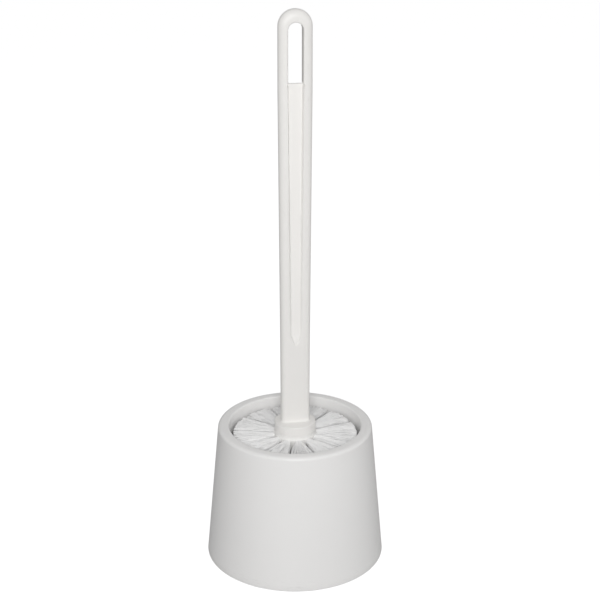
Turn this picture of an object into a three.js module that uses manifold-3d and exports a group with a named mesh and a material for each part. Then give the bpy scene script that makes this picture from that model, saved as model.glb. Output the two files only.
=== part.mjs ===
// Toilet brush in its holder, in millimetres, +Z up, standing on z = 0 with the holder's axis on Z.
// The holder is a one-piece double-wall pot. The brush is a flat hanging handle with a round hub and a
// tang that is pressed into a bristle head, and one tuft in each blind hole of that head.
import * as THREE from "three";
import { mergeVertices } from "three/addons/utils/BufferGeometryUtils.js";
import Module from "manifold-3d";

// Holder: a skirt that widens towards the floor, a flat rim, and an inner cup hanging from the rim.
const HOLDER = {
  height: 100.8,
  footRadius: 64.6,
  footEdge: 0.6,
  rimRadius: 55.6,
  rimRounding: 2.4,
  mouthRadius: 47.5,
  mouthRounding: 1.4,
  wall: 2,
  cupFloorZ: 10,
  cupFloorRadius: 41.4,
  cupFillet: 8,
  segments: 64,
};

// Handle: a flat bar with rounded edges, widest below its hanging slot. A recess runs down both faces,
// deepest at the slot. The bar stands on a round hub, and a flat tang goes on down from the hub.
const HANDLE = {
  topZ: 400,
  footZ: 103.8,
  footWidth: 20.2,
  widestWidth: 23.4,
  widestZ: 345,
  endRadius: 11.6,
  thickness: 9,
  edgeRoundingWidth: 4,
  edgeRoundingDepth: 3.6,
  slotTopZ: 391.3,
  slotBottomZ: 350,
  slotWidth: 10.2,
  slotCorner: 1,
  recessTopWidth: 11.2,
  recessLowWidth: 9,
  recessTopDepth: 3.4,
  recessLowDepth: 1.6,
  recessWallRun: 1.2,
  recessShoulderZ: 171,
  recessTipZ: 163,
  hubRadius: 14.7,
  hubBottomZ: 97,
  hubRounding: 0.8,
  tangWidth: 12,
  tangThickness: 5,
  tangLength: 20,
};

// Bristle head: a short flare under the hub, a core that narrows downwards, and a round end.
const HEAD = {
  flareBottomZ: 94,
  flareRadius: 15.5,
  endRadius: 12.5,
  endCentreZ: 36,
  segments: 36,
};

// Tufts: four staggered rings around the core, then a ring and a single tuft on its round end.
const TUFTS = {
  perRow: 12,
  rowZ: [92.5, 74, 55.5, 37],
  wallClearance: 3.7,
  holeRadius: 1.9,
  holeDepth: 4.5,
  holeOverrun: 2, // how far the cutter of a hole stands out of the core
  rootRadius: 1.5,
  rootStraight: 1, // how far a tuft runs straight before it fans out
  rowTipHalfWidth: 9,
  rowTipHalfHeight: 3.5,
  endCount: 6,
  endTilt: THREE.MathUtils.degToRad(45),
  endReach: 30,
  endTipHalfWidth: 5,
  tipFloorGap: 0.4,
  sides: 6,
};

const BRUSH_TURN = THREE.MathUtils.degToRad(9); // how far the brush is turned in the holder
const GAP = 0.3; // clearance between pieces that touch
const HEAD_TOP_Z = HANDLE.hubBottomZ - GAP;

const wasm = await Module();
wasm.setup();

const plastic = (name, color, roughness) =>
  new THREE.MeshStandardMaterial({ name, color, roughness, metalness: 0 });

// A closed three.js geometry as a solid that can be joined and cut.
function solid(geometry) {
  const bare = geometry.clone().deleteAttribute("normal").deleteAttribute("uv");
  const merged = mergeVertices(bare, 1e-4);
  return new wasm.Manifold(
    new wasm.Mesh({
      numProp: 3,
      vertProperties: merged.attributes.position.array,
      triVerts: new Uint32Array(merged.index.array),
    }),
  );
}

// The geometry of a solid.
function geometryOf(made) {
  const { vertProperties, triVerts } = made.getMesh();
  const geometry = new THREE.BufferGeometry();
  geometry.setAttribute("position", new THREE.BufferAttribute(vertProperties, 3));
  geometry.setIndex(new THREE.BufferAttribute(triVerts, 1));
  geometry.computeVertexNormals();
  return geometry;
}

function piece(name, geometry, material) {
  const mesh = new THREE.Mesh(geometry, material);
  mesh.name = name;
  return mesh;
}

// Points of a quarter round from one direction to another, both in degrees.
function arc(x, y, radius, from, to, steps = 3) {
  return Array.from({ length: steps + 1 }, (_, i) => {
    const angle = THREE.MathUtils.degToRad(from + ((to - from) * i) / steps);
    return new THREE.Vector2(x + radius * Math.cos(angle), y + radius * Math.sin(angle));
  });
}

// A profile of radius and height turned about the Z axis.
const turned = (profile, segments) => new THREE.LatheGeometry(profile, segments).rotateX(Math.PI / 2);

// An outline drawn in the XZ plane, given thickness equally to both sides of it.
function standingPlate(shape, thickness, bevel = {}) {
  const { size = 0, depth = 0, segments = 1 } = bevel;
  const geometry = new THREE.ExtrudeGeometry(shape, {
    depth: thickness - 2 * depth,
    curveSegments: 10,
    bevelEnabled: depth > 0,
    bevelThickness: depth,
    bevelSize: size,
    bevelOffset: -size,
    bevelSegments: segments,
  });
  return geometry.translate(0, 0, depth - thickness / 2).rotateX(Math.PI / 2);
}

// Radius of the cup's inner wall at a height.
function cupRadius(z) {
  const { height, mouthRadius, cupFloorZ, cupFloorRadius } = HOLDER;
  return THREE.MathUtils.mapLinear(z, cupFloorZ, height, cupFloorRadius, mouthRadius);
}

function makeHolder() {
  const { height, footRadius, footEdge, rimRadius, mouthRadius, wall, cupFloorZ, cupFillet } = HOLDER;
  const { rimRounding, mouthRounding } = HOLDER;
  const filletX = cupRadius(cupFloorZ) - cupFillet;
  const underRimZ = height - wall;
  const profile = [
    new THREE.Vector2(0, cupFloorZ),
    ...arc(filletX, cupFloorZ + cupFillet, cupFillet, -90, 0, 4),
    ...arc(mouthRadius + mouthRounding, height - mouthRounding, mouthRounding, 180, 90),
    ...arc(rimRadius - rimRounding, height - rimRounding, rimRounding, 90, 0),
    new THREE.Vector2(footRadius, footEdge),
    new THREE.Vector2(footRadius - footEdge, 0),
    new THREE.Vector2(footRadius - wall, 0),
    new THREE.Vector2(rimRadius - wall, underRimZ),
    new THREE.Vector2(cupRadius(underRimZ) + wall, underRimZ),
    ...arc(filletX, cupFloorZ + cupFillet, cupFillet + wall, 0, -90, 4),
    new THREE.Vector2(0, cupFloorZ - wall),
  ];
  const shape = turned(profile.reverse(), HOLDER.segments);
  return piece("holder", shape, plastic("holder white plastic", 0xe1dfdd, 0.35));
}

// Half of the handle's width at a height, below its round end.
function handleHalfWidth(z) {
  const { footZ, widestZ, footWidth, widestWidth, topZ, endRadius } = HANDLE;
  return z < widestZ
    ? THREE.MathUtils.mapLinear(z, footZ, widestZ, footWidth / 2, widestWidth / 2)
    : THREE.MathUtils.mapLinear(z, widestZ, topZ - endRadius, widestWidth / 2, endRadius);
}

function handleOutline() {
  const { topZ, endRadius, widestZ, hubBottomZ } = HANDLE;
  const shape = new THREE.Shape();
  shape.moveTo(-handleHalfWidth(hubBottomZ), hubBottomZ);
  shape.lineTo(handleHalfWidth(hubBottomZ), hubBottomZ);
  shape.lineTo(handleHalfWidth(widestZ), widestZ);
  shape.absarc(0, topZ - endRadius, endRadius, 0, Math.PI, false);
  shape.lineTo(-handleHalfWidth(widestZ), widestZ);
  return shape;
}

function slotOutline() {
  const { slotTopZ, slotBottomZ, slotWidth, slotCorner } = HANDLE;
  const half = slotWidth / 2;
  const shape = new THREE.Shape();
  shape.moveTo(-half, slotBottomZ + slotCorner);
  shape.lineTo(-half + slotCorner, slotBottomZ);
  shape.lineTo(half - slotCorner, slotBottomZ);
  shape.lineTo(half, slotBottomZ + slotCorner);
  shape.absarc(0, slotTopZ - half, half, 0, Math.PI, false);
  return shape;
}

// The recess runs down from the slot, narrows with the handle and ends in a point.
function recessOutline() {
  const { recessTopWidth, recessLowWidth, slotBottomZ, recessShoulderZ, recessTipZ, slotCorner } = HANDLE;
  const shape = new THREE.Shape();
  shape.moveTo(0, recessTipZ);
  shape.lineTo(recessLowWidth / 2, recessShoulderZ);
  shape.lineTo(recessTopWidth / 2, slotBottomZ + slotCorner);
  shape.lineTo(-recessTopWidth / 2, slotBottomZ + slotCorner);
  shape.lineTo(-recessLowWidth / 2, recessShoulderZ);
  return shape;
}

function makeHandle() {
  const { thickness, edgeRoundingWidth, edgeRoundingDepth, slotBottomZ, footZ } = HANDLE;
  const { recessTopDepth, recessLowDepth, recessWallRun, recessShoulderZ } = HANDLE;
  const { hubRadius, hubBottomZ, hubRounding, tangWidth, tangThickness, tangLength } = HANDLE;
  const rounding = { size: edgeRoundingWidth, depth: edgeRoundingDepth, segments: 4 };
  const slope = { size: recessWallRun, depth: recessTopDepth };
  let made = solid(standingPlate(handleOutline(), thickness, rounding));
  made = made.subtract(solid(standingPlate(slotOutline(), 2 * thickness)));
  // Each recess is cut by a plate whose sloping edge stands in the face. The plate leans out of the
  // face towards its foot, where the recess is shallower.
  const lean = Math.atan((recessTopDepth - recessLowDepth) / (slotBottomZ - recessShoulderZ));
  for (const side of [-1, 1]) {
    const cutter = standingPlate(recessOutline(), 4 * recessTopDepth, slope);
    cutter.translate(0, 0, -slotBottomZ).rotateX(side * lean);
    cutter.translate(0, side * (thickness / 2 + recessTopDepth), slotBottomZ);
    made = made.subtract(solid(cutter));
  }
  const hub = [
    new THREE.Vector2(0, hubBottomZ),
    new THREE.Vector2(hubRadius, hubBottomZ),
    ...arc(hubRadius - hubRounding, footZ - hubRounding, hubRounding, 0, 90, 2),
    new THREE.Vector2(0, footZ),
  ];
  // The tang reaches up into the hub, so that the two join.
  const tangHeight = tangLength + (footZ - hubBottomZ) / 2;
  const tang = new THREE.BoxGeometry(tangWidth, tangThickness, tangHeight);
  tang.translate(0, 0, hubBottomZ - tangLength + tangHeight / 2);
  made = made.add(solid(turned(hub, HEAD.segments))).add(solid(tang));
  return piece("handle", geometryOf(made), plastic("handle white plastic", 0xe6e3de, 0.4));
}

// Radius of the bristle head's core at a height.
function coreRadius(z) {
  const { flareBottomZ, flareRadius, endCentreZ, endRadius } = HEAD;
  return THREE.MathUtils.mapLinear(z, endCentreZ, flareBottomZ, endRadius, flareRadius);
}

// Where every tuft stands: its root on the core, its direction, its length and its tip's half sizes.
function tuftPlaces() {
  const { perRow, rowZ, wallClearance, endCount, endTilt, endReach, tipFloorGap } = TUFTS;
  const step = (2 * Math.PI) / perRow;
  const places = [];
  rowZ.forEach((z, row) => {
    for (let i = 0; i < perRow; i++) {
      places.push({
        name: `tuft_row${row + 1}_${String(i + 1).padStart(2, "0")}`,
        z,
        azimuth: (i + (row % 2) / 2) * step,
        tilt: 0,
        rootAt: coreRadius(z),
        tipAt: cupRadius(z) - wallClearance,
        halfWidth: TUFTS.rowTipHalfWidth,
        halfHeight: TUFTS.rowTipHalfHeight,
      });
    }
  });
  for (let i = 0; i <= endCount; i++) {
    const middle = i === endCount;
    places.push({
      name: `tuft_end_${i + 1}`,
      z: HEAD.endCentreZ,
      azimuth: (i * 2 * Math.PI) / endCount,
      tilt: middle ? Math.PI / 2 : Math.PI / 2 - endTilt,
      rootAt: HEAD.endRadius,
      tipAt: middle ? HEAD.endCentreZ - HOLDER.cupFloorZ - tipFloorGap : endReach,
      halfWidth: TUFTS.endTipHalfWidth,
      halfHeight: TUFTS.rowTipHalfHeight,
    });
  }
  return places;
}

// Turns a geometry that points along +X to a tuft's direction, and moves it to the tuft's centre.
function placed(geometry, { z, azimuth, tilt }) {
  return geometry.rotateY(tilt).rotateZ(azimuth).translate(0, 0, z);
}

// A rod along +X from one distance to another, round at its root and fanned out at its tip.
function fan(points) {
  const profile = points.map(({ at }) => new THREE.Vector2(1, at));
  profile.unshift(new THREE.Vector2(0, points[0].at));
  profile.push(new THREE.Vector2(0, points.at(-1).at));
  const geometry = new THREE.LatheGeometry(profile, TUFTS.sides);
  const position = geometry.attributes.position;
  for (let i = 0; i < position.count; i++) {
    const at = position.getY(i);
    const { halfWidth, halfHeight } = points.find((point) => Math.abs(point.at - at) < 1e-3);
    position.setXYZ(i, at, -position.getX(i) * halfWidth, position.getZ(i) * halfHeight);
  }
  return geometry;
}

function makeTuft(place) {
  const { rootRadius, rootStraight, holeDepth } = TUFTS;
  const { rootAt, tipAt, halfWidth, halfHeight } = place;
  const round = { halfWidth: rootRadius, halfHeight: rootRadius };
  const shape = fan([
    { at: rootAt - holeDepth + GAP, ...round },
    { at: rootAt + rootStraight, ...round },
    { at: tipAt, halfWidth, halfHeight },
  ]);
  return piece(place.name, placed(shape, place), plastic("white bristle", 0xd8d7d5, 0.6));
}

function tuftHole(place) {
  const { holeRadius, holeDepth, holeOverrun } = TUFTS;
  const round = { halfWidth: holeRadius, halfHeight: holeRadius };
  const hole = fan([
    { at: place.rootAt - holeDepth, ...round },
    { at: place.rootAt + holeOverrun, ...round },
  ]);
  return solid(placed(hole, place));
}

function makeHead(places) {
  const { flareBottomZ, flareRadius, endRadius, endCentreZ } = HEAD;
  const { hubRadius, hubBottomZ, tangWidth, tangThickness, tangLength } = HANDLE;
  const profile = [
    ...arc(0, endCentreZ, endRadius, -90, 0, 5),
    new THREE.Vector2(flareRadius, flareBottomZ),
    new THREE.Vector2(hubRadius, HEAD_TOP_Z),
    new THREE.Vector2(0, HEAD_TOP_Z),
  ];
  profile[0].x = 0;
  const socketHalf = tangLength + GAP;
  const socket = new THREE.BoxGeometry(tangWidth + 2 * GAP, tangThickness + 2 * GAP, 2 * socketHalf);
  socket.translate(0, 0, hubBottomZ);
  let made = solid(turned(profile, HEAD.segments)).subtract(solid(socket));
  for (const place of places) made = made.subtract(tuftHole(place));
  return piece("brush_head", geometryOf(made), plastic("head white plastic", 0xdddbd8, 0.4));
}

const places = tuftPlaces();
const brush = new THREE.Group();
brush.add(makeHandle(), makeHead(places), ...places.map(makeTuft));
brush.rotation.z = BRUSH_TURN;

const object = new THREE.Group();
object.add(makeHolder(), brush);

export default object;
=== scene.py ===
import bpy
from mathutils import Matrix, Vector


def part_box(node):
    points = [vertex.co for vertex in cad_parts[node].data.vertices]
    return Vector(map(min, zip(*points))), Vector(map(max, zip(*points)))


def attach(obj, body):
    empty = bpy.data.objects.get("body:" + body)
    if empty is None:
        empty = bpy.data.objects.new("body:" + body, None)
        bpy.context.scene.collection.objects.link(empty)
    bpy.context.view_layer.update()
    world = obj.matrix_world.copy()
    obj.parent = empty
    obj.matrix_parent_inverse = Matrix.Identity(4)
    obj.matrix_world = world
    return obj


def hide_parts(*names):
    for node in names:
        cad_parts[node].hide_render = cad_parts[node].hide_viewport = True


bl_info = {
    "name": "Toilet Brush Set",
    "version": (1, 0, 0),
    "blender": (4, 5, 0),
    "location": "3D View > Sidebar > Brush Set",
    "description": "Finished surfaces of a toilet brush standing in its pot",
    "category": "Add Mesh",
}

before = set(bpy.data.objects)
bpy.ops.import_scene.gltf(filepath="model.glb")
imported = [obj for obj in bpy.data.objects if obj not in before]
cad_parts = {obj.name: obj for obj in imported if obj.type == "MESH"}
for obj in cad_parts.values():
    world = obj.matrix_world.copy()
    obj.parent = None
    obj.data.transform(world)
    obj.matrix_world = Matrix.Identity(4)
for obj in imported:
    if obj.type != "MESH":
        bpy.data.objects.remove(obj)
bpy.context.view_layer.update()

from math import atan2, cos, hypot, pi, radians, sin

import bmesh
import bpy
from bpy.props import FloatProperty, FloatVectorProperty, IntProperty, PointerProperty
from bpy.types import Operator, Panel, PropertyGroup
from mathutils import Matrix, Vector

MM = 0.001

POT_LOW, POT_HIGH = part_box("holder")
HANDLE_LOW, HANDLE_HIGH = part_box("handle")
HEAD_LOW, HEAD_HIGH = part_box("brush_head")


def node_middle(name):
    """Mean place of a CAD node's corners."""
    corners = [v.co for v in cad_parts[name].data.vertices]
    return sum(corners, Vector()) / len(corners)


FIRST_TUFT = node_middle("tuft_row1_01")
BRUSH_TURN = atan2(FIRST_TUFT.y, FIRST_TUFT.x)
TUFTS_IN_RING = 12
RING_COUNT = 4
END_TUFTS = 6

# Steps of the handle's outline, which its rows and the arms of its slot share.
ARC_STEPS = 8
WALL_STEPS = 6
INNER_SHARES = (0.8, 0.4, 0)


# ---------------------------------------------------------------- sizes and colours


def size(name, default, description):
    """A length setting, given in millimetres and kept in metres."""
    return FloatProperty(
        name=name, default=default * MM, min=0, unit="LENGTH", description=description
    )


def colour(name, default, description):
    """A colour setting."""
    return FloatVectorProperty(
        name=name, default=default, min=0, max=1, size=3, subtype="COLOR", description=description
    )


def number(name, default, description, unit="NONE"):
    """A plain number setting."""
    return FloatProperty(name=name, default=default, unit=unit, description=description)


class PotSettings(PropertyGroup):
    rim_radius: size("Rim radius", 55.6, "Radius of the skirt's outer face where the rim starts")
    mouth_radius: size("Mouth radius", 47.5, "Radius of the opening inside the rim")
    wall: size("Wall", 2, "Thickness of the skirt, cup and rim")
    rim_run: size("Rim rounding width", 3, "Width of the rounding along the rim's outer edge")
    rim_drop: size("Rim rounding depth", 2.4, "Depth of the rounding along the rim's outer edge")
    mouth_rounding: size("Mouth rounding", 1.4, "Rounding along the rim's inner edge")
    cup_floor_height: size("Cup floor height", 10, "Height of the cup's floor above the ground")
    cup_floor_radius: size("Cup floor radius", 41.4, "Radius of the cup where its wall meets the floor")
    cup_fillet: size("Cup fillet", 8, "Radius between the cup's wall and its floor")
    steps: IntProperty(name="Steps", default=192, min=24, description="Steps around the pot")
    tone: colour("Pot colour", (0.92, 0.912, 0.902), "Colour of the pot's plastic")


class HandleSettings(PropertyGroup):
    foot_height: size("Foot height", 103.8, "Height of the hub's top, where the bar starts")
    foot_half_width: size("Foot half width", 10.1, "Half width of the bar at its foot")
    widest_half_width: size("Widest half width", 11.7, "Half width of the bar below the slot")
    widest_height: size("Widest height", 345, "Height where the bar is widest")
    end_radius: size("End radius", 11.6, "Radius of the bar's round end")
    half_thickness: size("Half thickness", 4.5, "Half thickness of the bar")
    edge_foot: size("Edge rounding, foot", 3, "Width and depth of the edge rounding at the bar's foot")
    edge_run: size("Edge rounding width", 5.3, "Width of the edge rounding beside the recess and slot")
    edge_drop: size("Edge rounding depth", 4.1, "Depth of the edge rounding beside the recess and slot")
    slot_half_width: size("Slot half width", 5.1, "Half width of the hanging slot")
    slot_bottom: size("Slot bottom", 350, "Height of the slot's lower end")
    slot_top: size("Slot top", 391.3, "Height of the slot's round upper end")
    slot_fillet: size("Slot fillet", 1.0, "Rounding along the slot's edges")
    recess_depth: size("Recess depth", 3.4, "Depth of the recess on both faces, under the slot")
    recess_low_depth: size("Recess depth, low", 1.6, "Depth of the recess at its low end")
    recess_floor: size("Recess floor", 4.6, "Half width of the recess's floor under the slot")
    recess_low_floor: size("Recess floor, low", 2.7, "Half width of the recess's floor at its low end")
    recess_wall: size("Recess wall", 1.0, "Width of the recess's sloping wall under the slot")
    recess_low_wall: size("Recess wall, low", 1.8, "Width of the recess's sloping wall at its low end")
    recess_shoulder: size("Recess shoulder", 171, "Height where the recess starts to come to a point")
    recess_tip: size("Recess tip", 162.6, "Height of the recess's lower point")
    foot_fillet: size("Foot fillet", 1.5, "Radius between the bar and the top of its hub")
    hub_radius: size("Hub radius", 14.7, "Radius of the round hub under the bar")
    hub_edge: size("Hub edge", 0.8, "Rounding of the hub's upper edge")
    hub_bottom: size("Hub bottom", 97, "Height of the hub's lower face")
    tang_half_width: size("Tang half width", 6, "Half width of the tang under the hub")
    tang_half_thickness: size("Tang half thickness", 2.5, "Half thickness of the tang under the hub")
    tone: colour("Handle colour", (0.92, 0.905, 0.88), "Colour of the handle's plastic")
    # The web colour is painted light: its lighter tone stands in for light shining through the thin
    # recess floor.
    web_backlit_tone: colour("Web backlight colour", (0.95, 0.935, 0.91), "Colour of the recess's thin floor")


class HeadSettings(PropertyGroup):
    flare_radius: size("Flare radius", 15.5, "Radius of the head under the hub")
    flare_height: size("Flare height", 94, "Height where the flare ends and the core starts")
    end_radius: size("End radius", 12.5, "Radius of the core's round end")
    end_centre: size("End centre", 36, "Height of the round end's centre")
    hole_radius: size("Hole radius", 1.75, "Radius of the blind hole that holds a tuft")
    hole_depth: size("Hole depth", 4.5, "Depth of the blind holes")
    steps: IntProperty(name="Steps", default=96, min=24, description="Steps around the head")
    tone: colour("Head colour", (0.92, 0.91, 0.89), "Colour of the head's plastic")


class BristleSettings(PropertyGroup):
    filaments: IntProperty(name="Filaments", default=260, min=1, description="Filaments in each tuft")
    filament_radius: size("Filament radius", 0.24, "Radius of one filament")
    root_radius: size("Root radius", 1.7, "Radius of a tuft where it leaves its hole")
    tip_half_width: size("Tip half width", 11.1, "Half width of a tuft at its tips")
    top_rise: size("Top rise", 1.5, "How far a tuft of the top ring spreads upward at its tips")
    tip_rise: size("Tip rise", 10, "How far a tuft of a lower ring spreads upward at its tips")
    tip_fall: size("Tip fall", 9, "How far a tuft spreads downward at its tips")
    end_tip_half_width: size("End tip half width", 5, "Half width of an end tuft at its tips")
    wall_gap: size("Wall gap", 2.2, "Distance from the tips to the cup's wall")
    end_reach: size("End reach", 30, "Reach of the sloping end tufts from the round end's centre")
    end_tilt: FloatProperty(
        name="End tilt",
        default=radians(45),
        subtype="ANGLE",
        description="Slope of the end tufts from the axis",
    )
    sway: size("Sway", 0.4, "How far a filament wanders from a straight line")
    seed: IntProperty(name="Seed", default=11, description="Seed for the filaments")
    tone: colour("Bristle colour", (0.985, 0.983, 0.98), "Colour of the filaments")


class StageSettings(PropertyGroup):
    focal_length: number("Focal length", 91.26, "Camera focal length, mm")
    distance: size("Distance", 991, "Level distance from the axis to the camera")
    eye_height: size("Eye height", 583, "Height of the camera above the floor")
    pitch: FloatProperty(
        name="Pitch", default=radians(21.32), subtype="ANGLE", description="Downward slope of the view"
    )
    shift: number("Shift", 0.0083, "Sideways shift of the frame")
    ambient: number("Ambient", 0.44, "Strength of the surrounding light")
    front_power: number("Front power", 5.5, "Power of the front light", unit="POWER")
    side_power: number("Side power", 2, "Power of the right light", unit="POWER")
    floor_tone: colour("Floor colour", (0.5, 0.5, 0.5), "Colour of the floor")
    floor_glow: number("Floor glow", 0.76, "How far the floor is lifted to white in view")


# ---------------------------------------------------------------- building meshes


def quarter(x, y, run, drop, start, end, steps):
    """Points on part of an ellipse about (x, y). Angles are in degrees."""
    angles = [radians(start + (end - start) * i / steps) for i in range(steps + 1)]
    return [(x + run * cos(a), y + drop * sin(a)) for a in angles]


def blend_value(value, low, high, at_low, at_high):
    """The value between at_low and at_high that stands as value does between low and high."""
    share = min(1, max(0, (value - low) / (high - low)))
    return at_low + (at_high - at_low) * share


def ease(share):
    """A smooth step from 0 to 1."""
    return share * share * (3 - 2 * share)


def new_object(name, verts, faces, sharp_angle=40):
    """An object with a closed mesh, its normals outward and its sharp edges marked."""
    mesh = bpy.data.meshes.new(name)
    mesh.from_pydata([tuple(v) for v in verts], [], faces)
    work = bmesh.new()
    work.from_mesh(mesh)
    bmesh.ops.remove_doubles(work, verts=work.verts, dist=1e-6)
    bmesh.ops.recalc_face_normals(work, faces=work.faces)
    work.to_mesh(mesh)
    work.free()
    mesh.shade_smooth()
    mesh.set_sharp_from_angle(angle=radians(sharp_angle))
    made = bpy.data.objects.new(name, mesh)
    bpy.context.scene.collection.objects.link(made)
    return made


def turned(name, profile, steps, sharp_angle=40):
    """A profile of radius and height turned about the Z axis. It starts and ends on the axis."""
    verts, faces = [], []
    rings = len(profile)
    for i in range(steps):
        angle = 2 * pi * i / steps
        verts += [(r * cos(angle), r * sin(angle), z) for r, z in profile]
    for i in range(steps):
        here, there = i * rings, (i + 1) % steps * rings
        for k in range(rings - 1):
            face = [here + k, there + k, there + k + 1, here + k + 1]
            if profile[k][0] == 0:
                face = [here, there + 1, here + 1]
            elif profile[k + 1][0] == 0:
                face = [here + k, there + k, here + k + 1]
            faces.append(face)
    return new_object(name, verts, faces, sharp_angle)


def evaluated_mesh(source, name):
    """The object's mesh with its modifiers applied, as a new plain object. The source is removed."""
    bpy.context.view_layer.update()
    graph = bpy.context.evaluated_depsgraph_get()
    mesh = bpy.data.meshes.new_from_object(source.evaluated_get(graph))
    mesh.name = name
    bpy.data.objects.remove(source)
    made = bpy.data.objects.new(name, mesh)
    bpy.context.scene.collection.objects.link(made)
    return made


def finish_piece(piece, material, body, slot, *nodes):
    """Gives a piece its material and says where it belongs."""
    piece.data.materials.clear()
    piece.data.materials.append(material)
    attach(piece, body)
    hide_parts(*nodes)


# ---------------------------------------------------------------- node helpers


class Tree:
    """Adds nodes to a node tree. Values go to a node's inputs in order, and None leaves one as it is."""

    def __init__(self, tree):
        self.tree = tree

    def add(self, kind, *values, **settings):
        node = self.tree.nodes.new(kind)
        for name, value in settings.items():
            setattr(node, name, value)
        sockets = [s for s in node.inputs if s.enabled]
        for socket, value in zip(sockets, values):
            self.put(socket, value)
        return node

    def put(self, socket, value):
        if isinstance(value, bpy.types.NodeSocket):
            self.tree.links.new(value, socket)
        elif value is not None:
            socket.default_value = value

    def out(self, kind, *values, **settings):
        """Adds a node and gives its first enabled output."""
        node = self.add(kind, *values, **settings)
        return next(s for s in node.outputs if s.enabled)

    def math(self, operation, *values):
        return self.out("ShaderNodeMath", *values, operation=operation)

    def vector_math(self, operation, *values):
        return self.out("ShaderNodeVectorMath", *values, operation=operation)

    def scaled(self, vector, factor):
        node = self.add("ShaderNodeVectorMath", vector, operation="SCALE")
        self.put(node.inputs["Scale"], factor)
        return node.outputs[0]

    def socket(self, name, kind, way="INPUT", default=None):
        made = self.tree.interface.new_socket(name, in_out=way, socket_type="NodeSocket" + kind)
        if default is not None:
            made.default_value = default
        return made


def colour4(tone):
    """The colour with an alpha of 1."""
    return (*tone, 1)


def skin_group():
    """The surface of moulded plastic: a faint flow pattern in the colour, fine grain, and scuffs."""
    found = bpy.data.node_groups.get("Moulded skin")
    if found:
        return found
    group = bpy.data.node_groups.new("Moulded skin", "ShaderNodeTree")
    tree = Tree(group)
    tree.socket("Vector", "Vector")
    tree.socket("Tone", "Color", default=(0.8, 0.8, 0.8, 1))
    tree.socket("Flow", "Float", default=0.03)
    tree.socket("Roughness", "Float", default=0.35)
    tree.socket("Grain scale", "Float", default=900)
    tree.socket("Grain height", "Float", default=0.00002)
    tree.socket("Scuffs", "Float", default=0)
    tree.socket("Color", "Color", "OUTPUT")
    tree.socket("Roughness", "Float", "OUTPUT")
    tree.socket("Normal", "Vector", "OUTPUT")
    given = group.nodes.new("NodeGroupInput").outputs
    flow = tree.out("ShaderNodeTexNoise", given["Vector"], 22.0, 3.0, 0.55)
    darker = tree.math("MULTIPLY", flow, given["Flow"])
    scuff_place = tree.vector_math("MULTIPLY", given["Vector"], (60, 60, 420))
    scuff = tree.out("ShaderNodeTexNoise", scuff_place, 3.0, 4.0, 0.6)
    scuff = tree.out("ShaderNodeMapRange", scuff, 0.58, 0.7, 0.0, 1.0)
    scuff = tree.math("MULTIPLY", scuff, given["Scuffs"])
    dirt = tree.math("MULTIPLY_ADD", scuff, 0.12, darker)
    tinted = tree.scaled(given["Tone"], tree.math("SUBTRACT", 1.0, dirt))
    rough = tree.math("MULTIPLY_ADD", flow, 0.12, given["Roughness"])
    rough = tree.math("MULTIPLY_ADD", scuff, 0.25, rough)
    grain = tree.out("ShaderNodeTexNoise", given["Vector"], given["Grain scale"], 2.0, 0.5)
    bump = tree.add("ShaderNodeBump")
    tree.put(bump.inputs["Height"], grain)
    tree.put(bump.inputs["Distance"], given["Grain height"])
    result = group.nodes.new("NodeGroupOutput").inputs
    tree.put(result["Color"], tinted)
    tree.put(result["Roughness"], rough)
    tree.put(result["Normal"], bump.outputs["Normal"])
    return group


def skin_material(name, tone, roughness=0.34, scuffs=0.0, web_backlit_tone=None):
    """White moulded polypropylene. With a web tone given, the mesh's web attribute mixes that lighter
    colour in: painted light, standing in for light shining through the thin web.
    """
    material = bpy.data.materials.new(name)
    material.use_nodes = True
    tree = Tree(material.node_tree)
    shader = material.node_tree.nodes["Principled BSDF"]
    place = tree.add("ShaderNodeTexCoord").outputs["Object"]
    skin = tree.add("ShaderNodeGroup", node_tree=skin_group())
    tree.put(skin.inputs["Vector"], place)
    tree.put(skin.inputs["Tone"], colour4(tone))
    tree.put(skin.inputs["Roughness"], roughness)
    # The lighter web colour is painted light shining through the thin recess floor.
    if web_backlit_tone:
        web = tree.add("ShaderNodeAttribute", attribute_name="web").outputs["Fac"]
        mixed = tree.out("ShaderNodeMix", web, colour4(tone), colour4(web_backlit_tone), data_type="RGBA")
        tree.put(skin.inputs["Tone"], mixed)
    if scuffs:
        height = tree.add("ShaderNodeSeparateXYZ", place).outputs["Z"]
        near_floor = tree.out("ShaderNodeMapRange", height, 0.0, 0.012, scuffs, 0.0)
        tree.put(skin.inputs["Scuffs"], near_floor)
    tree.put(shader.inputs["Base Color"], skin.outputs["Color"])
    tree.put(shader.inputs["Roughness"], skin.outputs["Roughness"])
    tree.put(shader.inputs["Normal"], skin.outputs["Normal"])
    shader.inputs["IOR"].default_value = 1.49
    return material


# ---------------------------------------------------------------- pot


def cup_radius(pot, z):
    """Radius of the cup's inner wall at a height."""
    top = POT_HIGH.z
    slope = (pot.mouth_radius - pot.cup_floor_radius) / (top - pot.cup_floor_height)
    return pot.cup_floor_radius + slope * (z - pot.cup_floor_height)


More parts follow.
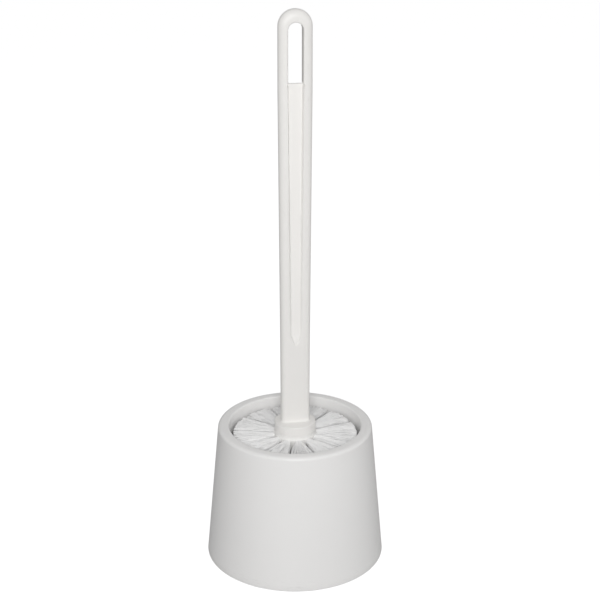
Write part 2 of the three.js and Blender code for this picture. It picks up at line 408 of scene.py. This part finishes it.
class BRUSHSET_OT_pot(Operator):
    """Make the one-piece double-wall pot"""

    bl_idname = "brushset.pot"
    bl_label = "Pot"

    def execute(self, context):
        pot = context.scene.pot
        top, foot = POT_HIGH.z, POT_HIGH.x
        floor, wall, fillet = pot.cup_floor_height, pot.wall, pot.cup_fillet
        run, drop, lip = pot.rim_run, pot.rim_drop, pot.mouth_rounding
        fillet_x = pot.cup_floor_radius - fillet
        under = top - wall * 1.1
        edge = 0.5 * MM
        profile = [(0, floor), (0.3 * fillet_x, floor), (0.7 * fillet_x, floor)]
        profile += quarter(fillet_x, floor + fillet, fillet, fillet, -90, 0, 12)
        for share in (0.25, 0.5, 0.75, 0.95):
            z = floor + fillet + (top - lip - floor - fillet) * share
            profile.append((cup_radius(pot, z), z))
        profile += quarter(pot.mouth_radius + lip, top - lip, lip, lip, 180, 90, 8)
        profile += quarter(pot.rim_radius - run, top - drop, run, drop, 90, 0, 10)
        for share in (0.05, 0.3, 0.5, 0.7, 0.95):
            z = (top - drop) * (1 - share)
            profile.append((pot.rim_radius + (foot - pot.rim_radius) * share, z))
        profile += quarter(foot - edge, edge, edge, edge, 0, -90, 4)
        profile += quarter(foot - wall + edge, edge, edge, edge, -90, -180, 4)
        root = 1.2 * MM
        inner_x = pot.rim_radius - wall
        cup_x = cup_radius(pot, under) + wall
        profile += [(inner_x + (foot - wall - inner_x) * (1 - s), under * s) for s in (0.3, 0.6, 0.9)]
        profile += quarter(inner_x - root, under - root, root, root, 0, 90, 4)
        profile += quarter(cup_x + root, under - root, root, root, 90, 180, 4)
        for share in (0.1, 0.5, 0.9):
            z = under - root + (floor + fillet - under + root) * share
            profile.append((cup_radius(pot, z) + wall, z))
        profile += quarter(fillet_x, floor + fillet, fillet + wall, fillet + wall, 0, -90, 12)
        # A low round stub is left under the floor where the plastic was fed in.
        stub, stub_height = 2.2 * MM, 0.5 * MM
        under_floor = floor - wall
        stub_foot = under_floor - stub_height
        profile += [(stub, under_floor), (stub * 0.9, stub_foot), (0, stub_foot)]
        piece = turned("pot", profile, pot.steps)
        material = skin_material("Pot plastic", pot.tone, 0.33, scuffs=1.0)
        finish_piece(piece, material, "holder", "holder_plastic", "holder")
        return {"FINISHED"}


# ---------------------------------------------------------------- handle


def bar_half_width(h, z):
    """Half of the bar's width at a height."""
    if z < h.widest_height:
        return blend_value(z, h.foot_height, h.widest_height, h.foot_half_width, h.widest_half_width)
    end = HANDLE_HIGH.z - h.end_radius
    return blend_value(z, h.widest_height, end, h.widest_half_width, h.end_radius)


def edge_points(h, run, drop):
    """Distances in from the bar's side and out from its middle plane, along one edge's rounding."""
    seam = 0.06 * MM
    flat = h.half_thickness - drop
    points = [(-seam, 0), (0, flat * 0.6)]
    for i in range(ARC_STEPS + 1):
        angle = i / ARC_STEPS * pi / 2
        points.append((run * (1 - cos(angle)), flat + drop * sin(angle)))
    return points


def mirrored_loop(quadrant):
    """A closed loop from the points of its first quadrant, which runs from the X axis to the Y axis."""
    back = [(-x, y) for x, y in reversed(quadrant[:-1])]
    half = quadrant + back
    front = [(x, -y) for x, y in reversed(half[1:-1])]
    return half + front


def recess_sizes(h, z):
    """Half width of the recess's floor, half width at the face, and depth, at a height."""
    point = 0.25 * MM
    if z >= h.recess_shoulder:
        span = (z, h.recess_shoulder, h.slot_bottom)
        mouth = (z, h.slot_bottom - 2 * MM, h.slot_bottom)
        floor = blend_value(*span, h.recess_low_floor, h.recess_floor)
        floor = blend_value(*mouth, floor, h.slot_half_width)
        wall = blend_value(*span, h.recess_low_wall, h.recess_wall)
        wall = blend_value(*mouth, wall, h.slot_fillet)
        return floor, floor + wall, blend_value(*span, h.recess_low_depth, h.recess_depth)
    if z > h.recess_tip:
        span = (z, h.recess_tip, h.recess_shoulder)
        floor = blend_value(*span, point, h.recess_low_floor)
        outer = blend_value(*span, 2 * point, h.recess_low_floor + h.recess_low_wall)
        return floor, outer, blend_value(*span, 0, h.recess_low_depth)
    floor = blend_value(z, h.recess_tip - 20 * MM, h.recess_tip, 2 * MM, point)
    return floor, 2 * floor, 0


def edge_sizes(h, z):
    """Width and depth of the rounding along the bar's edges at a height."""
    span = (z, h.foot_height, h.recess_shoulder)
    run = blend_value(*span, h.edge_foot, 0.85 * h.edge_run)
    return run, blend_value(*span, h.edge_foot, h.edge_drop)


def bar_loop(h, z):
    """The bar's outline across its length at a height below the slot, as points of a closed loop."""
    half = bar_half_width(h, z)
    run, drop = edge_sizes(h, z)
    run = blend_value(z, h.recess_shoulder, h.slot_bottom, run, h.edge_run)
    floor, outer, depth = recess_sizes(h, z)
    quadrant = [(half - inward, y) for inward, y in edge_points(h, run, drop)]
    for i in range(WALL_STEPS + 1):
        share = i / WALL_STEPS
        quadrant.append((outer + (floor - outer) * share, h.half_thickness - depth * ease(share)))
    quadrant += [(floor * share, h.half_thickness - depth) for share in INNER_SHARES]
    return mirrored_loop(quadrant)


def rounded_box_radius(angle, half_x, half_y, corner, grow):
    """Distance from the centre to a rounded box grown by a margin, in a direction."""
    low, high = 0.0, 4 * max(half_x, half_y) + grow
    for _ in range(40):
        r = (low + high) / 2
        dx = abs(r * cos(angle)) - half_x + corner
        dy = abs(r * sin(angle)) - half_y + corner
        outside = hypot(max(dx, 0), max(dy, 0)) + min(max(dx, dy), 0) - corner
        low, high = (r, high) if outside < grow else (low, r)
    return (low + high) / 2


def handle_rows(h):
    """Closed loops from the tang's end up to the slot, as lists of points."""
    fillet_top = h.foot_height + h.foot_fillet
    first = bar_loop(h, fillet_top)
    angles = [atan2(y, x) for x, y in first]
    half = bar_half_width(h, fillet_top)

    def ring(z, radius_of):
        return [Vector((radius_of(a) * cos(a), radius_of(a) * sin(a), z)) for a in angles]

    def box_radius(a, grow=0):
        return rounded_box_radius(a, half, h.half_thickness, h.edge_foot, grow)

    def tang_radius(a, shrink=0):
        half_x, half_y = h.tang_half_width - shrink, h.tang_half_thickness - shrink
        return rounded_box_radius(a, half_x, half_y, 0.6 * MM, 0)

    def on_hub(a, grow, at_least=0):
        return max(min(box_radius(a, grow), h.hub_radius), at_least)

    chamfer = 0.8 * MM
    lip = 0.1 * MM
    tang_end = HANDLE_LOW.z
    rows = [
        ring(tang_end, lambda a: tang_radius(a, 1.4 * MM)),
        ring(tang_end, lambda a: tang_radius(a, chamfer)),
        ring(tang_end + chamfer, tang_radius),
        ring(h.hub_bottom, tang_radius),
        ring(h.hub_bottom, lambda a: h.hub_radius - lip),
        ring(h.hub_bottom + lip, lambda a: h.hub_radius),
        ring(h.foot_height - h.hub_edge - 1.5 * MM, lambda a: h.hub_radius),
    ]
    steps = 5
    for i in range(steps + 1):
        turn = i / steps * pi / 2
        least = h.hub_radius - h.hub_edge * (1 - cos(turn))
        z = h.foot_height - h.hub_edge * (1 - sin(turn))
        rows.append(ring(z, lambda a: on_hub(a, h.foot_fillet, least)))
    steps = 8
    for i in range(steps):
        turn = (1 - i / steps) * pi / 2
        z = h.foot_height + h.foot_fillet * (1 - sin(turn))
        rows.append(ring(z, lambda a: on_hub(a, h.foot_fillet * (1 - cos(turn)))))
    heights = [fillet_top, fillet_top + 4 * MM]
    heights += [h.recess_tip - d * MM for d in (35, 20, 8, 2, 0.4, 0)]
    point = h.recess_shoulder - h.recess_tip
    heights += [h.recess_tip + point * s for s in (0.06, 0.12, 0.18, 0.25, 0.4, 0.6, 0.8, 1)]
    straight = h.slot_bottom - 5 * MM - h.recess_shoulder
    heights += [h.recess_shoulder + straight * i / 14 for i in range(1, 15)]
    heights += [h.slot_bottom - d * MM for d in (3, 2, 1.2, 0.5, 0)]
    for z in heights:
        rows.append([Vector((x, y, z)) for x, y in bar_loop(h, z)])
    return rows


def slot_stations(h):
    """Matching points on the outlines of the bar and the slot, from the right foot round to the left."""
    outer_top = HANDLE_HIGH.z - h.end_radius
    slot_top = h.slot_top - h.slot_half_width
    right = []
    for share in (0.02, 0.05, 0.1, 0.2, 0.35, 0.5, 0.65, 0.8, 0.9):
        z = h.slot_bottom + (outer_top - h.slot_bottom) * share
        slot_z = h.slot_bottom + (slot_top - h.slot_bottom) * share
        right.append((Vector((bar_half_width(h, z), 0, z)), Vector((h.slot_half_width, 0, slot_z))))
    left = [(Vector((-a.x, 0, a.z)), Vector((-b.x, 0, b.z))) for a, b in reversed(right)]
    steps = 48
    arch = []
    outer_centre, slot_centre = Vector((0, 0, outer_top)), Vector((0, 0, slot_top))
    for i in range(steps + 1):
        turn = Vector((cos(pi * i / steps), 0, sin(pi * i / steps)))
        arch.append((outer_centre + turn * h.end_radius, slot_centre + turn * h.slot_half_width))
    return right + arch + left


def slot_loop(h, outer, inner):
    """The outline of one arm of the slot, from its outer side round the back to the slot's wall."""
    inward = (inner - outer).normalized()
    across = Vector((0, 1, 0))
    web = h.half_thickness - h.recess_depth
    half = [outer + inward * d + across * y for d, y in edge_points(h, h.edge_run, h.edge_drop)]
    for i in range(WALL_STEPS):
        angle = i / (WALL_STEPS - 1) * pi / 2
        y = h.half_thickness - h.slot_fillet * (1 - cos(angle))
        half.append(inner - inward * h.slot_fillet * (1 - sin(angle)) + across * y)
    half.append(inner + across * web)
    half += [inner + across * web * share for share in INNER_SHARES]
    flip = Matrix.Scale(-1, 4, across)
    return half + [flip @ p for p in reversed(half[1:-1])]


def bridge(a, b):
    """Quads between two closed loops of vertex numbers."""
    count = len(a)
    return [[a[i], a[(i + 1) % count], b[(i + 1) % count], b[i]] for i in range(count)]


def handle_mesh(h):
    """Vertices, faces and web values of the handle, standing unturned."""
    verts, faces = [], []

    def add(points):
        start = len(verts)
        verts.extend(points)
        return list(range(start, start + len(points)))

    rows = [add(points) for points in handle_rows(h)]
    faces.append(list(reversed(rows[0])))
    for low, high in zip(rows, rows[1:]):
        faces += bridge(low, high)
    top = rows[-1]
    quadrant = ARC_STEPS + 1 + 2 + WALL_STEPS + 1 + len(INNER_SHARES)
    shared = quadrant - len(INNER_SHARES)
    half = 2 * quadrant - 1
    right_back, left_back = top[:shared], top[half - shared : half]
    left_front = top[half - 1 : half - 1 + shared]
    right_front = [top[0]] + top[-1 : -shared : -1]
    # The slot's floor: rows of points across, each from the right wall to the left one.
    web = h.half_thickness - h.recess_depth
    crown = 0.5 * MM
    shares = [*INNER_SHARES, *[-s for s in reversed(INNER_SHARES[:-1])]]
    back_row = top[shared - 1 : half - shared + 1]
    front_row = list(reversed(top[half - 1 + shared - 1 : len(top) - shared + 2]))
    across = [1, *shares, -1]
    grid = [back_row]
    for share in shares:
        z = h.slot_bottom + crown * (1 - share**4)
        points = [Vector((h.slot_half_width * x, web * share, z)) for x in across]
        grid.append(add(points))
    grid.append(front_row)
    for upper, lower in zip(grid, grid[1:]):
        faces += [[upper[i], upper[i + 1], lower[i + 1], lower[i]] for i in range(len(across) - 1)]
    right_wall = [row[0] for row in grid[1:-1]]
    left_wall = [row[-1] for row in grid[1:-1]]
    first = right_back + right_wall + right_front[:0:-1]
    last = list(reversed(left_back)) + left_wall + left_front[:0:-1]
    arms = [first] + [add(slot_loop(h, a, b)) for a, b in slot_stations(h)] + [last]
    for low, high in zip(arms, arms[1:]):
        faces += bridge(low, high)
    return verts, faces


def web_backlight_share(h, p):
    """How much of the web's lighter colour a point has, painted light shining through the thin web: 1 on
    the recess's floor, and 0 outside the recess.
    """
    _, outer, depth = recess_sizes(h, p.z)
    if depth <= 0 or p.z > h.slot_bottom + MM or abs(p.x) >= outer:
        return 0.0
    level = (h.half_thickness - abs(p.y)) / max(depth, MM)
    return level**3


class BRUSHSET_OT_handle(Operator):
    """Make the handle: the bar with its slot and recesses, the hub and the tang"""

    bl_idname = "brushset.handle"
    bl_label = "Handle"

    def execute(self, context):
        h = context.scene.handle
        verts, faces = handle_mesh(h)
        turn = Matrix.Rotation(BRUSH_TURN, 4, "Z")
        piece = new_object("handle_bar", [turn @ v for v in verts], faces)
        back = turn.inverted()
        # The web attribute places the painted light shining through the thin recess floor.
        values = [web_backlight_share(h, back @ vertex.co) for vertex in piece.data.vertices]
        web = piece.data.attributes.new("web", "FLOAT", "POINT")
        web.data.foreach_set("value", values)
        material = skin_material("Handle plastic", h.tone, 0.36, web_backlit_tone=h.web_backlit_tone)
        finish_piece(piece, material, "brush", "handle_plastic", "handle")
        return {"FINISHED"}


# ---------------------------------------------------------------- bristle head and tufts


def core_radius(head, z):
    """Radius of the head's core at a height."""
    return blend_value(z, head.end_centre, head.flare_height, head.end_radius, head.flare_radius)


def tuft_places(scene):
    """Root, reach to the tips, sideways direction, and spread at the tips of every tuft, by ring.

    The spread is how far the filaments lie to the sides, upward and downward."""
    pot, head, bristle = scene.pot, scene.head, scene.bristle
    rings = []
    for ring in range(RING_COUNT):
        z = node_middle(f"tuft_row{ring + 1}_01").z
        root_at = core_radius(head, z)
        tip_at = cup_radius(pot, z) - bristle.wall_gap
        places = []
        for i in range(TUFTS_IN_RING):
            angle = BRUSH_TURN + 2 * pi * (i + ring % 2 / 2) / TUFTS_IN_RING
            out = Vector((cos(angle), sin(angle), 0))
            side = Vector((-out.y, out.x, 0))
            root = out * root_at + Vector((0, 0, z))
            rise = bristle.tip_rise if ring else bristle.top_rise
            spread = (bristle.tip_half_width, rise, bristle.tip_fall)
            places.append((root, out * (tip_at - root_at), side, spread))
        rings.append((f"bristles_row{ring + 1}", places))
    centre = Vector((0, 0, head.end_centre))
    floor_gap = 0.4 * MM
    to_floor = head.end_centre - pot.cup_floor_height - floor_gap
    places = []
    for i in range(END_TUFTS + 1):
        middle = i == END_TUFTS
        angle = BRUSH_TURN + 2 * pi * i / END_TUFTS
        level = Vector((cos(angle), sin(angle), 0))
        tilt = 0 if middle else bristle.end_tilt
        out = level * sin(tilt) - Vector((0, 0, cos(tilt)))
        reach = to_floor if middle else bristle.end_reach
        side = Vector((-level.y, level.x, 0))
        root = centre + out * head.end_radius
        half = bristle.end_tip_half_width
        places.append((root, out * (reach - head.end_radius), side, (half, half * 0.7, half * 0.7)))
    rings.append(("bristles_end", places))
    return rings


class BRUSHSET_OT_head(Operator):
    """Make the bristle head: the flare, the core with its blind holes, and the socket for the tang"""

    bl_idname = "brushset.head"
    bl_label = "Bristle head"

    def execute(self, context):
        scene = context.scene
        head, h = scene.head, scene.handle
        top = HEAD_HIGH.z + 0.2 * MM
        lip = 0.1 * MM
        profile = [(0, head.end_centre - head.end_radius)]
        profile += quarter(0, head.end_centre, head.end_radius, head.end_radius, -90, 0, 20)[1:]
        for share in (0.33, 0.66):
            z = head.end_centre + (head.flare_height - head.end_centre) * share
            profile.append((core_radius(head, z), z))
        rounding = 0.5 * MM
        profile += quarter(head.flare_radius - rounding, head.flare_height, rounding, rounding, 0, 60, 4)
        rise = top - lip - head.flare_height - 0.4 * MM
        flare = head.flare_radius - rounding - h.hub_radius
        profile += quarter(h.hub_radius + flare, top - lip, flare, rise, 262, 180, 8)
        profile += [(h.hub_radius - lip, top), (0.6 * h.hub_radius, top), (0, top)]
        piece = turned("bristle_core", profile, head.steps)
        work = bmesh.new()
        length = head.hole_depth + 3 * MM
        for _, places in tuft_places(scene):
            for root, reach, side, _ in places:
                out = reach.normalized()
                facing = Matrix((side, out.cross(side), out)).transposed().to_4x4()
                middle = root + out * (length / 2 - head.hole_depth)
                bmesh.ops.create_cone(
                    work,
                    cap_ends=True,
                    segments=16,
                    radius1=head.hole_radius,
                    radius2=head.hole_radius,
                    depth=length,
                    matrix=Matrix.Translation(middle) @ facing,
                )
        clearance = 0.15 * MM
        depth = h.hub_bottom - HANDLE_LOW.z + clearance
        sizes = Matrix.Diagonal(
            (2 * (h.tang_half_width + clearance), 2 * (h.tang_half_thickness + clearance), 2 * depth, 1)
        )
        socket = Matrix.Rotation(BRUSH_TURN, 4, "Z") @ Matrix.Translation((0, 0, h.hub_bottom)) @ sizes
        bmesh.ops.create_cube(work, size=1, matrix=socket)
        mesh = bpy.data.meshes.new("cutters")
        work.to_mesh(mesh)
        work.free()
        cutter = bpy.data.objects.new("cutters", mesh)
        scene.collection.objects.link(cutter)
        cut = piece.modifiers.new("Holes", "BOOLEAN")
        cut.object = cutter
        cut.operation = "DIFFERENCE"
        cut.solver = "EXACT"
        piece = evaluated_mesh(piece, "bristle_core")
        bpy.data.objects.remove(cutter)
        piece.data.shade_smooth()
        piece.data.set_sharp_from_angle(angle=radians(35))
        material = skin_material("Head plastic", head.tone, 0.42)
        finish_piece(piece, material, "brush", "head_plastic", "brush_head")
        return {"FINISHED"}


def filament_tree():
    """Grows a tuft of filaments on each vertex, from the vertex's reach, side and tip attributes."""
    group = bpy.data.node_groups.new("Tuft filaments", "GeometryNodeTree")
    tree = Tree(group)
    tree.socket("Geometry", "Geometry")
    tree.socket("Filaments", "Int", default=60)
    tree.socket("Filament radius", "Float", default=0.0002)
    tree.socket("Root radius", "Float", default=0.0015)
    tree.socket("Sway", "Float", default=0.0005)
    tree.socket("Seed", "Int", default=1)
    tree.socket("Material", "Material")
    tree.socket("Geometry", "Geometry", "OUTPUT")
    given = group.nodes.new("NodeGroupInput").outputs
    math, scaled = tree.math, tree.scaled

    def random(low, high, offset):
        node = tree.add("FunctionNodeRandomValue", data_type="FLOAT")
        tree.put(node.inputs[2], low)
        tree.put(node.inputs[3], high)
        tree.put(node.inputs["ID"], tree.out("GeometryNodeInputIndex"))
        tree.put(node.inputs["Seed"], math("ADD", given["Seed"], offset))
        return node.outputs[1]

    def named(name, kind):
        node = tree.add("GeometryNodeInputNamedAttribute", name, data_type=kind)
        return next(s for s in node.outputs if s.enabled)

    def total(*vectors):
        result = vectors[0]
        for vector in vectors[1:]:
            result = tree.vector_math("ADD", result, vector)
        return result

    def store(geometry, name, kind, value, domain="POINT"):
        node = tree.add("GeometryNodeStoreNamedAttribute", data_type=kind, domain=domain)
        tree.put(node.inputs["Geometry"], geometry)
        tree.put(node.inputs["Name"], name)
        tree.put(next(s for s in node.inputs if s.enabled and s.name == "Value"), value)
        return node.outputs["Geometry"]

    points = tree.out("GeometryNodeMeshToPoints", given["Geometry"])
    points = store(points, "root", "FLOAT_VECTOR", tree.out("GeometryNodeInputPosition"))
    copies = tree.add("GeometryNodeDuplicateElements", points, None, given["Filaments"], domain="POINT")
    points = copies.outputs["Geometry"]
    spread = math("SQRT", random(0.0, 1.0, 1))
    angle = random(0.0, 2 * pi, 2)
    points = store(points, "across", "FLOAT", math("MULTIPLY", spread, math("COSINE", angle)))
    points = store(points, "upward", "FLOAT", math("MULTIPLY", spread, math("SINE", angle)))
    points = store(points, "trim", "FLOAT", random(0.96, 1.0, 3))
    points = store(points, "phase", "FLOAT", random(0.0, 2 * pi, 4))
    points = store(points, "shade", "FLOAT", random(0.0, 1.0, 5))
    line = tree.out("GeometryNodeCurvePrimitiveLine")
    line = tree.out("GeometryNodeResampleCurve", line, None, 8)
    placed = tree.out("GeometryNodeInstanceOnPoints", points, None, line)
    curves = tree.out("GeometryNodeRealizeInstances", placed)

    # Share of the way from the core's surface to the tips. It starts below 0, inside the hole.
    along = tree.add("GeometryNodeSplineParameter").outputs["Factor"]
    along = math("MULTIPLY_ADD", along, 1.11, -0.11)
    outside = math("MAXIMUM", along, 0.0)
    flare = math("POWER", outside, 0.7)
    reach, side = named("reach", "FLOAT_VECTOR"), named("side", "FLOAT_VECTOR")
    up = tree.vector_math("NORMALIZE", tree.vector_math("CROSS_PRODUCT", reach, side))
    across, upward = named("across", "FLOAT"), named("upward", "FLOAT")
    tip = named("tip", "FLOAT_VECTOR")
    tip_size = tree.add("ShaderNodeSeparateXYZ", tip)

    def offset(share, tip_half):
        growth = math("MULTIPLY", math("SUBTRACT", tip_half, given["Root radius"]), flare)
        return math("MULTIPLY", share, math("ADD", given["Root radius"], growth))

    rising = math("GREATER_THAN", upward, 0.0)
    extra = math("SUBTRACT", tip_size.outputs["Y"], tip_size.outputs["Z"])
    tip_height = math("MULTIPLY_ADD", rising, extra, tip_size.outputs["Z"])

    # The tips of a tuft lie on a round surface, so the outer filaments reach less far.
    dome = math("MULTIPLY", math("MULTIPLY", across, across), 0.035)
    length = math("SUBTRACT", named("trim", "FLOAT"), dome)
    wave = math("MULTIPLY_ADD", along, 5.0, named("phase", "FLOAT"))
    swing = math("MULTIPLY", given["Sway"], outside)
    sway = math("MULTIPLY", swing, math("SINE", wave))
    drift = math("MULTIPLY", swing, math("COSINE", math("MULTIPLY", wave, 1.3)))
    place = total(
        named("root", "FLOAT_VECTOR"),
        scaled(reach, math("MULTIPLY", along, length)),
        scaled(side, math("ADD", offset(across, tip_size.outputs["X"]), sway)),
        scaled(up, math("ADD", offset(upward, tip_height), drift)),
    )
    curves = tree.out("GeometryNodeSetPosition", curves, None, place)
    ring = tree.add("GeometryNodeCurvePrimitiveCircle", 4)
    tree.put(ring.inputs["Radius"], given["Filament radius"])
    mesh = tree.add("GeometryNodeCurveToMesh")
    tree.put(mesh.inputs["Curve"], curves)
    tree.put(mesh.inputs["Profile Curve"], ring.outputs["Curve"])
    tree.put(mesh.inputs["Fill Caps"], True)
    made = tree.out("GeometryNodeRealizeInstances", mesh.outputs["Mesh"])
    made = tree.out("GeometryNodeSetMaterial", made, None, given["Material"])
    tree.put(group.nodes.new("NodeGroupOutput").inputs["Geometry"], made)
    return group


def bristle_material(tone):
    """White crimped filament: each one a slightly different shade, with a rough sheen."""
    material = bpy.data.materials.new("Bristle filament")
    material.use_nodes = True
    tree = Tree(material.node_tree)
    shader = material.node_tree.nodes["Principled BSDF"]
    shade = tree.add("ShaderNodeAttribute", attribute_name="shade").outputs["Fac"]
    place = tree.add("ShaderNodeTexCoord").outputs["Object"]
    cloud = tree.out("ShaderNodeTexNoise", place, 120.0, 2.0, 0.5)
    keep = tree.out("ShaderNodeMapRange", tree.math("MULTIPLY", shade, cloud), 0.0, 0.7, 0.98, 1.01)
    tree.put(shader.inputs["Base Color"], tree.scaled(tone, keep))
    rough = tree.out("ShaderNodeMapRange", cloud, 0.3, 0.7, 0.48, 0.62)
    tree.put(shader.inputs["Roughness"], rough)
    return material


class BRUSHSET_OT_bristles(Operator):
    """Grow the tufts of filaments, one piece for each ring of the head and one for its round end"""

    bl_idname = "brushset.bristles"
    bl_label = "Bristles"

    def execute(self, context):
        scene = context.scene
        bristle = scene.bristle
        group = filament_tree()
        ids = {s.name: s.identifier for s in group.interface.items_tree if s.in_out == "INPUT"}
        material = bristle_material(bristle.tone)
        for number, (name, places) in enumerate(tuft_places(scene)):
            mesh = bpy.data.meshes.new(name)
            mesh.from_pydata([tuple(place[0]) for place in places], [], [])
            values = {
                "reach": [c for place in places for c in place[1]],
                "side": [c for place in places for c in place[2]],
                "tip": [c for place in places for c in place[3]],
            }
            for key, flat in values.items():
                attribute = mesh.attributes.new(key, "FLOAT_VECTOR", "POINT")
                attribute.data.foreach_set("vector", flat)
            seeds = bpy.data.objects.new(name, mesh)
            scene.collection.objects.link(seeds)
            grow = seeds.modifiers.new("Filaments", "NODES")
            grow.node_group = group
            grow[ids["Filaments"]] = bristle.filaments
            grow[ids["Filament radius"]] = bristle.filament_radius
            grow[ids["Root radius"]] = bristle.root_radius
            grow[ids["Sway"]] = bristle.sway
            grow[ids["Seed"]] = bristle.seed + 10 * number
            grow[ids["Material"]] = material
            piece = evaluated_mesh(seeds, name)
            piece.data.shade_smooth()
            kind = name.split("_")[1]
            nodes = [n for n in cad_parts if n.startswith(f"tuft_{kind}_")]
            finish_piece(piece, material, "brush", "bristle", *nodes)
        return {"FINISHED"}


# ---------------------------------------------------------------- stage


def add_area_light(name, place, target, side, power):
    """A square light that faces a target."""
    lamp = bpy.data.lights.new(name, "AREA")
    lamp.shape = "SQUARE"
    lamp.size = side
    lamp.energy = power
    made = bpy.data.objects.new(name, lamp)
    made.location = place
    made.rotation_euler = (Vector(place) - Vector(target)).to_track_quat("Z", "Y").to_euler()
    bpy.context.scene.collection.objects.link(made)


class BRUSHSET_OT_stage(Operator):
    """Make the pale floor, the soft studio light and the camera"""

    bl_idname = "brushset.stage"
    bl_label = "Stage"

    def execute(self, context):
        scene = context.scene
        stage = scene.stage
        reach = 6
        corners = [(-reach, -reach, 0), (reach, -reach, 0), (reach, reach, 0), (-reach, reach, 0)]
        drop = 0.05 * MM
        floor = new_object("floor", [(x, y, -drop) for x, y, _ in corners], [[0, 1, 2, 3]])
        material = bpy.data.materials.new("Pale floor")
        material.use_nodes = True
        shader = material.node_tree.nodes["Principled BSDF"]
        shader.inputs["Base Color"].default_value = colour4(stage.floor_tone)
        shader.inputs["Roughness"].default_value = 0.8
        shader.inputs["Emission Color"].default_value = (1, 1, 1, 1)
        tree = Tree(material.node_tree)
        seen = tree.add("ShaderNodeLightPath").outputs["Is Camera Ray"]
        tree.put(shader.inputs["Emission Strength"], tree.math("MULTIPLY", seen, stage.floor_glow))
        floor.data.materials.append(material)

        world = bpy.data.worlds.new("Studio")
        scene.world = world
        world.use_nodes = True
        tree = Tree(world.node_tree)
        back = world.node_tree.nodes["Background"]
        back.inputs["Color"].default_value = (1, 1, 1, 1)
        seen = tree.add("ShaderNodeLightPath").outputs["Is Camera Ray"]
        strength = tree.out("ShaderNodeMapRange", seen, 0.0, 1.0, stage.ambient, 1.0)
        tree.put(back.inputs["Strength"], strength)

        add_area_light("Front light", (0, -0.99, 0.62), (0, 0, 0.2), 0.3, stage.front_power)
        add_area_light("Side light", (1.5, 0.3, 0.5), (0, 0, 0.1), 0.6, stage.side_power)

        lens = bpy.data.cameras.new("Camera")
        lens.sensor_width = 36
        lens.lens = stage.focal_length
        lens.shift_x = stage.shift
        lens.clip_start = 0.01
        camera = bpy.data.objects.new("Camera", lens)
        camera.location = (0, -stage.distance, stage.eye_height)
        camera.rotation_euler = (pi / 2 - stage.pitch, 0, 0)
        scene.collection.objects.link(camera)
        scene.camera = camera
        scene.view_settings.view_transform = "Standard"
        return {"FINISHED"}


# ---------------------------------------------------------------- add-on


class BRUSHSET_PT_sidebar(Panel):
    """Sizes and colours of the brush set, with a button for each piece"""

    bl_label = "Brush Set"
    bl_idname = "BRUSHSET_PT_sidebar"
    bl_space_type = "VIEW_3D"
    bl_region_type = "UI"
    bl_category = "Brush Set"

    def draw(self, context):
        for name, operator in STEPS:
            box = self.layout.box()
            box.operator(operator.bl_idname)
            settings = getattr(context.scene, name)
            for key in settings.bl_rna.properties.keys():
                if key not in ("rna_type", "name"):
                    box.prop(settings, key)


SETTINGS = {
    "pot": PotSettings,
    "handle": HandleSettings,
    "head": HeadSettings,
    "bristle": BristleSettings,
    "stage": StageSettings,
}
STEPS = (
    ("stage", BRUSHSET_OT_stage),
    ("pot", BRUSHSET_OT_pot),
    ("handle", BRUSHSET_OT_handle),
    ("head", BRUSHSET_OT_head),
    ("bristle", BRUSHSET_OT_bristles),
)


def register():
    for cls in SETTINGS.values():
        bpy.utils.register_class(cls)
    for _, operator in STEPS:
        bpy.utils.register_class(operator)
    bpy.utils.register_class(BRUSHSET_PT_sidebar)
    for name, cls in SETTINGS.items():
        setattr(bpy.types.Scene, name, PointerProperty(type=cls))


def unregister():
    for name in SETTINGS:
        delattr(bpy.types.Scene, name)
    bpy.utils.unregister_class(BRUSHSET_PT_sidebar)
    for _, operator in reversed(STEPS):
        bpy.utils.unregister_class(operator)
    for cls in reversed(SETTINGS.values()):
        bpy.utils.unregister_class(cls)


def main():
    register()
    bpy.ops.brushset.stage()
    bpy.ops.brushset.pot()
    bpy.ops.brushset.handle()
    bpy.ops.brushset.head()
    bpy.ops.brushset.bristles()


if __name__ == "__main__":
    main()
